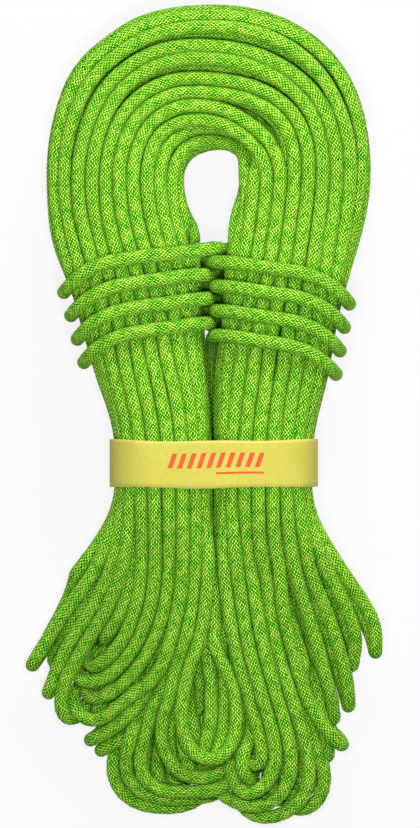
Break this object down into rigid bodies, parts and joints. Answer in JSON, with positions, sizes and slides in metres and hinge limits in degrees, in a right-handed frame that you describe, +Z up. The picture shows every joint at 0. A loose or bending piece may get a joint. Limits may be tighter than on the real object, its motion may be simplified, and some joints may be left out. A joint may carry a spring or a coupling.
{
  "type": "dynamic climbing rope",
  "caption": "Kernmantle dynamic climbing rope wound into a two-legged hank, whipped with figures of eight and held at its waist by a paper band.",
  "frame": {"origin": "middle of the hank's underside, on the surface it lies on", "axes": "+Y from the bights towards the arch, +X to the right seen from above, +Z up from the surface"},
  "size_m": [0.2482, 0.573, 0.103],
  "materials": {
    "sheath": "braided polyamide sheath in two greens",
    "buried_loops": "the same sheath in shade",
    "kern": "twisted white core strands",
    "tracer": "coloured tracer yarn",
    "sleeve": "shrunk plastic end sleeve",
    "melt": "rope end melted solid",
    "band": "yellow laid paper with a plain printed ornament"
  },
  "bodies": {
    "rope": {"rope_outer_loops": "sheath", "rope_buried_loops_arch": "buried_loops", "rope_buried_loops_left_leg": "buried_loops", "rope_buried_loops_right_leg": "buried_loops", "rope_figure_eight_wraps": "sheath", "start_end_sheath": "sheath", "start_end_kern_1": "kern", "start_end_kern_2": "kern", "start_end_kern_3": "kern", "start_end_kern_4": "kern", "start_end_kern_5": "kern", "start_end_kern_6": "kern", "start_end_kern_7": "kern", "start_end_tracer": "tracer", "start_end_melt": "melt", "start_end_sleeve": "sleeve", "finish_end_sheath": "sheath", "finish_end_kern_1": "kern", "finish_end_kern_2": "kern", "finish_end_kern_3": "kern", "finish_end_kern_4": "kern", "finish_end_kern_5": "kern", "finish_end_kern_6": "kern", "finish_end_kern_7": "kern", "finish_end_tracer": "tracer", "finish_end_melt": "melt", "finish_end_sleeve": "sleeve"},
    "band": {"paper_band": "band", "paper_band_lap": "band"}
  },
  "joints": [
    {"name": "band_slide", "type": "slide", "parent": "rope", "child": "band", "axis": [0, 1, 0], "range_m": [-0.01, 0.01]}
  ]
}
